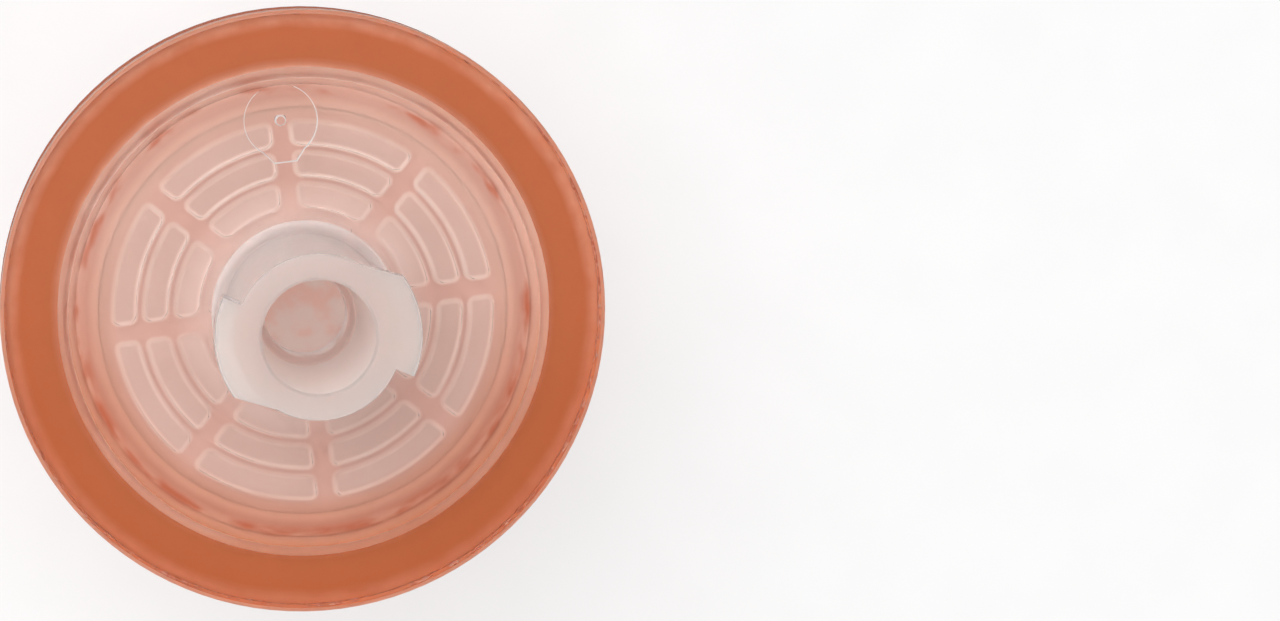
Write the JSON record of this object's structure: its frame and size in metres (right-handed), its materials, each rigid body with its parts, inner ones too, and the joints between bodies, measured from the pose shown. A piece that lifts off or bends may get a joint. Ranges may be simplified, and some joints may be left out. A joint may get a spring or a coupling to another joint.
{
  "type": "syringe filter",
  "caption": "Small disc syringe filter: clear-white inlet cover with a lugged, tapered socket, over an orange outlet body with a slim tapered tube.",
  "frame": {"origin": "centre of the inlet socket's mouth", "axes": "+Z along the filter's axis, out of the inlet socket towards the syringe; the two locking lugs lie along X"},
  "size_m": [0.0234, 0.0234, 0.0236],
  "materials": {
    "natural_polypropylene": "satin",
    "membrane_film": "matte",
    "orange_polypropylene": "satin"
  },
  "bodies": {
    "root": {"inlet_cover": "natural_polypropylene", "membrane": "membrane_film", "outlet_body": "orange_polypropylene"}
  },
  "joints": []
}
